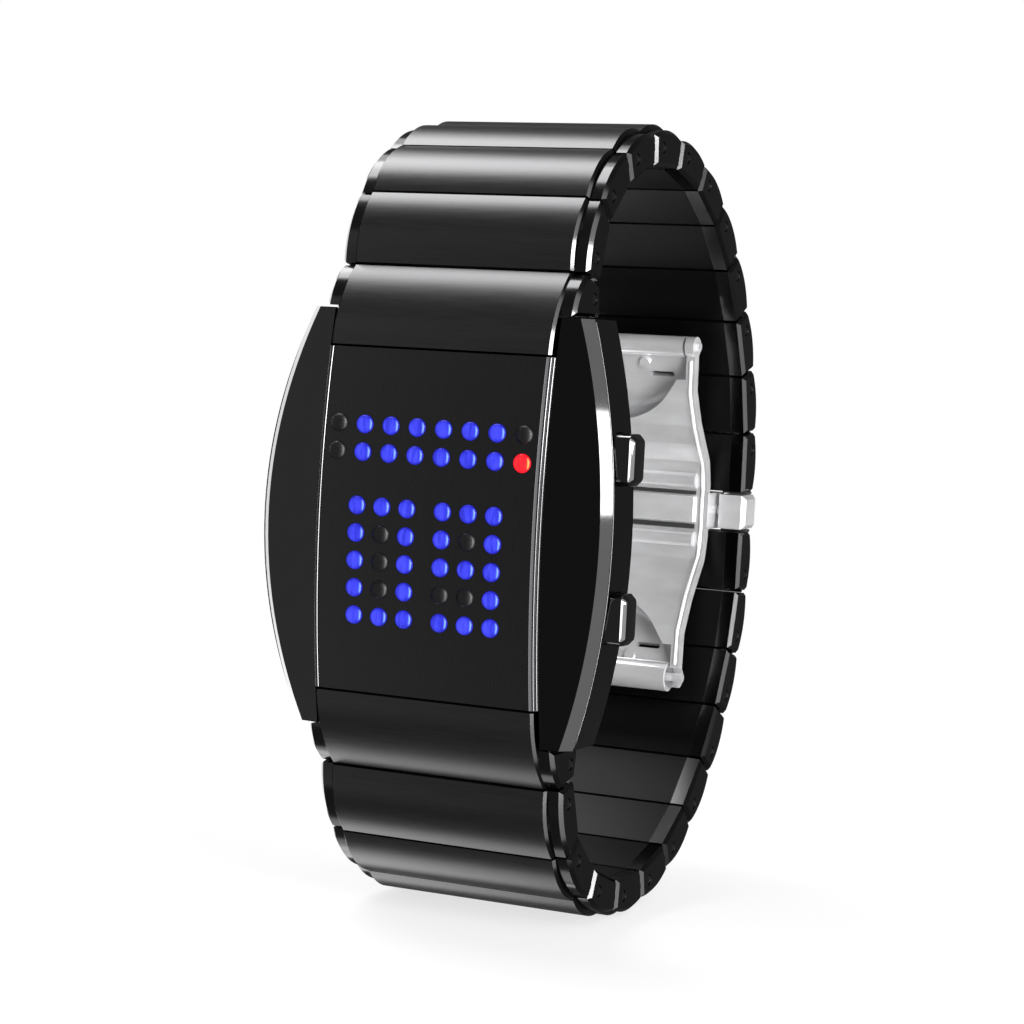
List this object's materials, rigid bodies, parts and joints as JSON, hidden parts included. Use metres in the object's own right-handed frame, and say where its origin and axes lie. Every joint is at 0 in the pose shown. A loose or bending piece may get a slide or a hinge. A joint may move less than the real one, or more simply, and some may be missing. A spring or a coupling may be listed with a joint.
{
  "type": "binary watch",
  "caption": "Steel bracelet watch that shows binary-style digits on a grid of round LEDs, with side buttons and a butterfly clasp.",
  "frame": {"origin": "middle of the case back's outer face, which lies on the wrist", "axes": "-Y out of the display, +Z towards 12 o'clock, +X towards 3 o'clock"},
  "size_m": [0.033, 0.0486, 0.069],
  "materials": {
    "black_steel": "glossy black plated",
    "brushed_black": "brushed black plated",
    "polished_steel": "polished",
    "bright_steel": "satin",
    "blue_lens": "domed lens, lit blue",
    "red_lens": "domed lens, lit red",
    "dark_lens": "domed lens, unlit",
    "board": "solder mask",
    "black_plastic": "moulded",
    "seal_rubber": "matt"
  },
  "bodies": {
    "case": {"case_body": "black_steel", "display_plate": "brushed_black", "blue_leds": "blue_lens", "red_led": "red_lens", "dark_leds": "dark_lens", "circuit_board": "board", "controller_chip": "black_plastic", "quartz_crystal": "bright_steel", "push_switches": "bright_steel", "module_holder": "black_plastic", "coin_cells": "bright_steel", "battery_clip": "bright_steel", "case_gasket": "seal_rubber", "case_back": "black_steel", "case_back_screws": "bright_steel", "button_springs": "bright_steel", "button_seals": "seal_rubber"},
    "upper_button": {"upper_button": "black_steel", "upper_button_clip": "bright_steel"},
    "lower_button": {"lower_button": "black_steel", "lower_button_clip": "bright_steel"},
    "link_12h_01": {"link_12h_01": "black_steel"},
    "link_12h_02": {"link_12h_02": "black_steel"},
    "link_12h_03": {"link_12h_03": "black_steel"},
    "link_12h_04": {"link_12h_04": "black_steel"},
    "link_12h_05": {"link_12h_05": "black_steel"},
    "link_12h_06": {"link_12h_06": "black_steel"},
    "link_12h_07": {"link_12h_07": "black_steel"},
    "link_12h_08": {"link_12h_08": "black_steel"},
    "link_12h_09": {"link_12h_09": "black_steel"},
    "link_12h_10": {"link_12h_10": "black_steel"},
    "link_12h_11": {"link_12h_11": "black_steel"},
    "link_12h_12": {"link_12h_12": "black_steel"},
    "link_6h_01": {"link_6h_01": "black_steel"},
    "link_6h_02": {"link_6h_02": "black_steel"},
    "link_6h_03": {"link_6h_03": "black_steel"},
    "link_6h_04": {"link_6h_04": "black_steel"},
    "link_6h_05": {"link_6h_05": "black_steel"},
    "link_6h_06": {"link_6h_06": "black_steel"},
    "link_6h_07": {"link_6h_07": "black_steel"},
    "link_6h_08": {"link_6h_08": "black_steel"},
    "link_6h_09": {"link_6h_09": "black_steel"},
    "link_6h_10": {"link_6h_10": "black_steel"},
    "link_6h_11": {"link_6h_11": "black_steel"},
    "link_6h_12": {"link_6h_12": "black_steel"},
    "upper_blade": {"upper_blade": "polished_steel"},
    "lower_blade": {"lower_blade": "polished_steel"},
    "clasp_frame": {"clasp_frame": "polished_steel", "clasp_pins": "polished_steel", "pusher_springs": "polished_steel"},
    "left_pusher": {"left_pusher": "polished_steel"},
    "right_pusher": {"right_pusher": "polished_steel"}
  },
  "joints": [
    {"name": "hinge_12h_01", "type": "hinge", "parent": "case", "child": "link_12h_01", "pos_m": [0, -0.0026, 0.0191], "axis": [1, 0, 0], "range_deg": [0, 1.1]},
    {"name": "hinge_12h_02", "type": "hinge", "parent": "link_12h_01", "child": "link_12h_02", "pos_m": [0, -0.0026, 0.0224], "axis": [1, 0, 0], "range_deg": [0, 3.62]},
    {"name": "hinge_12h_03", "type": "hinge", "parent": "link_12h_02", "child": "link_12h_03", "pos_m": [0, 0.00017, 0.02761], "axis": [1, 0, 0], "range_deg": [0, 3.62]},
    {"name": "hinge_12h_04", "type": "hinge", "parent": "link_12h_03", "child": "link_12h_04", "pos_m": [0, 0.005, 0.03099], "axis": [1, 0, 0], "range_deg": [0, 3.62]},
    {"name": "hinge_12h_05", "type": "hinge", "parent": "link_12h_04", "child": "link_12h_05", "pos_m": [0, 0.01073, 0.03242], "axis": [1, 0, 0], "range_deg": [0, 3.62]},
    {"name": "hinge_12h_06", "type": "hinge", "parent": "link_12h_05", "child": "link_12h_06", "pos_m": [0, 0.01661, 0.03201], "axis": [1, 0, 0], "range_deg": [0, 3.62]},
    {"name": "hinge_12h_07", "type": "hinge", "parent": "link_12h_06", "child": "link_12h_07", "pos_m": [0, 0.02216, 0.02999], "axis": [1, 0, 0], "range_deg": [0, 5.6]},
    {"name": "hinge_12h_08", "type": "hinge", "parent": "link_12h_07", "child": "link_12h_08", "pos_m": [0, 0.02699, 0.02661], "axis": [1, 0, 0], "range_deg": [0, 5.6]},
    {"name": "hinge_12h_09", "type": "hinge", "parent": "link_12h_08", "child": "link_12h_09", "pos_m": [0, 0.03098, 0.02226], "axis": [1, 0, 0], "range_deg": [0, 5.6]},
    {"name": "hinge_12h_10", "type": "hinge", "parent": "link_12h_09", "child": "link_12h_10", "pos_m": [0, 0.0341, 0.01725], "axis": [1, 0, 0], "range_deg": [0, 5.6]},
    {"name": "hinge_12h_11", "type": "hinge", "parent": "link_12h_10", "child": "link_12h_11", "pos_m": [0, 0.03631, 0.01178], "axis": [1, 0, 0], "range_deg": [0, 5.6]},
    {"name": "hinge_12h_12", "type": "hinge", "parent": "link_12h_11", "child": "link_12h_12", "pos_m": [0, 0.03744, 0.00599], "axis": [1, 0, 0], "range_deg": [0, 5.6]},
    {"name": "hinge_6h_01", "type": "hinge", "parent": "case", "child": "link_6h_01", "pos_m": [0, -0.0026, -0.0191], "axis": [-1, 0, 0], "range_deg": [0, 1.1]},
    {"name": "hinge_6h_02", "type": "hinge", "parent": "link_6h_01", "child": "link_6h_02", "pos_m": [0, -0.0026, -0.0224], "axis": [-1, 0, 0], "range_deg": [0, 3.62]},
    {"name": "hinge_6h_03", "type": "hinge", "parent": "link_6h_02", "child": "link_6h_03", "pos_m": [0, 0.00017, -0.02761], "axis": [-1, 0, 0], "range_deg": [0, 3.62]},
    {"name": "hinge_6h_04", "type": "hinge", "parent": "link_6h_03", "child": "link_6h_04", "pos_m": [0, 0.005, -0.03099], "axis": [-1, 0, 0], "range_deg": [0, 3.62]},
    {"name": "hinge_6h_05", "type": "hinge", "parent": "link_6h_04", "child": "link_6h_05", "pos_m": [0, 0.01073, -0.03242], "axis": [-1, 0, 0], "range_deg": [0, 3.62]},
    {"name": "hinge_6h_06", "type": "hinge", "parent": "link_6h_05", "child": "link_6h_06", "pos_m": [0, 0.01661, -0.03201], "axis": [-1, 0, 0], "range_deg": [0, 3.62]},
    {"name": "hinge_6h_07", "type": "hinge", "parent": "link_6h_06", "child": "link_6h_07", "pos_m": [0, 0.02216, -0.02999], "axis": [-1, 0, 0], "range_deg": [0, 5.6]},
    {"name": "hinge_6h_08", "type": "hinge", "parent": "link_6h_07", "child": "link_6h_08", "pos_m": [0, 0.02699, -0.02661], "axis": [-1, 0, 0], "range_deg": [0, 5.6]},
    {"name": "hinge_6h_09", "type": "hinge", "parent": "link_6h_08", "child": "link_6h_09", "pos_m": [0, 0.03098, -0.02226], "axis": [-1, 0, 0], "range_deg": [0, 5.6]},
    {"name": "hinge_6h_10", "type": "hinge", "parent": "link_6h_09", "child": "link_6h_10", "pos_m": [0, 0.0341, -0.01725], "axis": [-1, 0, 0], "range_deg": [0, 5.6]},
    {"name": "hinge_6h_11", "type": "hinge", "parent": "link_6h_10", "child": "link_6h_11", "pos_m": [0, 0.03631, -0.01178], "axis": [-1, 0, 0], "range_deg": [0, 5.6]},
    {"name": "hinge_6h_12", "type": "hinge", "parent": "link_6h_11", "child": "link_6h_12", "pos_m": [0, 0.03744, -0.00599], "axis": [-1, 0, 0], "range_deg": [0, 5.6]},
    {"name": "upper_blade_tip", "type": "hinge", "parent": "link_12h_12", "child": "upper_blade", "pos_m": [0, 0.0366, 0.0034], "axis": [1, 0, 0], "range_deg": [0, 37.46]},
    {"name": "clasp_fold", "type": "hinge", "parent": "upper_blade", "child": "clasp_frame", "pos_m": [0, 0.0299, 0.0155], "axis": [-1, 0, 0], "range_deg": [0, 90]},
    {"name": "lower_blade_tip", "type": "hinge", "parent": "link_6h_12", "child": "lower_blade", "pos_m": [0, 0.0366, -0.0034], "axis": [-1, 0, 0], "range_deg": [0, 37.46]},
    {"name": "upper_button_press", "type": "slide", "parent": "case", "child": "upper_button", "axis": [-1, 0, 0], "range_m": [0, 0.00045], "stiffness_N_per_m": 1500, "springref_m": -0.0004},
    {"name": "lower_button_press", "type": "slide", "parent": "case", "child": "lower_button", "axis": [-1, 0, 0], "range_m": [0, 0.00045], "stiffness_N_per_m": 1500, "springref_m": -0.0004},
    {"name": "right_pusher_press", "type": "slide", "parent": "clasp_frame", "child": "right_pusher", "axis": [-1, 0, 0], "range_m": [0, 0.0005], "stiffness_N_per_m": 1500, "springref_m": -0.0004},
    {"name": "left_pusher_press", "type": "slide", "parent": "clasp_frame", "child": "left_pusher", "axis": [1, 0, 0], "range_m": [0, 0.0005], "stiffness_N_per_m": 1500, "springref_m": -0.0004}
  ],
  "couplings": [
    {"joint": "hinge_12h_01", "follows": "clasp_fold", "ratio": 0.012},
    {"joint": "hinge_12h_02", "follows": "clasp_fold", "ratio": 0.04},
    {"joint": "hinge_12h_03", "follows": "clasp_fold", "ratio": 0.04},
    {"joint": "hinge_12h_04", "follows": "clasp_fold", "ratio": 0.04},
    {"joint": "hinge_12h_05", "follows": "clasp_fold", "ratio": 0.04},
    {"joint": "hinge_12h_06", "follows": "clasp_fold", "ratio": 0.04},
    {"joint": "hinge_12h_07", "follows": "clasp_fold", "ratio": 0.062},
    {"joint": "hinge_12h_08", "follows": "clasp_fold", "ratio": 0.062},
    {"joint": "hinge_12h_09", "follows": "clasp_fold", "ratio": 0.062},
    {"joint": "hinge_12h_10", "follows": "clasp_fold", "ratio": 0.062},
    {"joint": "hinge_12h_11", "follows": "clasp_fold", "ratio": 0.062},
    {"joint": "hinge_12h_12", "follows": "clasp_fold", "ratio": 0.062},
    {"joint": "hinge_6h_01", "follows": "clasp_fold", "ratio": 0.012},
    {"joint": "hinge_6h_02", "follows": "clasp_fold", "ratio": 0.04},
    {"joint": "hinge_6h_03", "follows": "clasp_fold", "ratio": 0.04},
    {"joint": "hinge_6h_04", "follows": "clasp_fold", "ratio": 0.04},
    {"joint": "hinge_6h_05", "follows": "clasp_fold", "ratio": 0.04},
    {"joint": "hinge_6h_06", "follows": "clasp_fold", "ratio": 0.04},
    {"joint": "hinge_6h_07", "follows": "clasp_fold", "ratio": 0.062},
    {"joint": "hinge_6h_08", "follows": "clasp_fold", "ratio": 0.062},
    {"joint": "hinge_6h_09", "follows": "clasp_fold", "ratio": 0.062},
    {"joint": "hinge_6h_10", "follows": "clasp_fold", "ratio": 0.062},
    {"joint": "hinge_6h_11", "follows": "clasp_fold", "ratio": 0.062},
    {"joint": "hinge_6h_12", "follows": "clasp_fold", "ratio": 0.062},
    {"joint": "upper_blade_tip", "follows": "clasp_fold", "ratio": 0.416},
    {"joint": "lower_blade_tip", "follows": "clasp_fold", "ratio": 0.416}
  ]
}
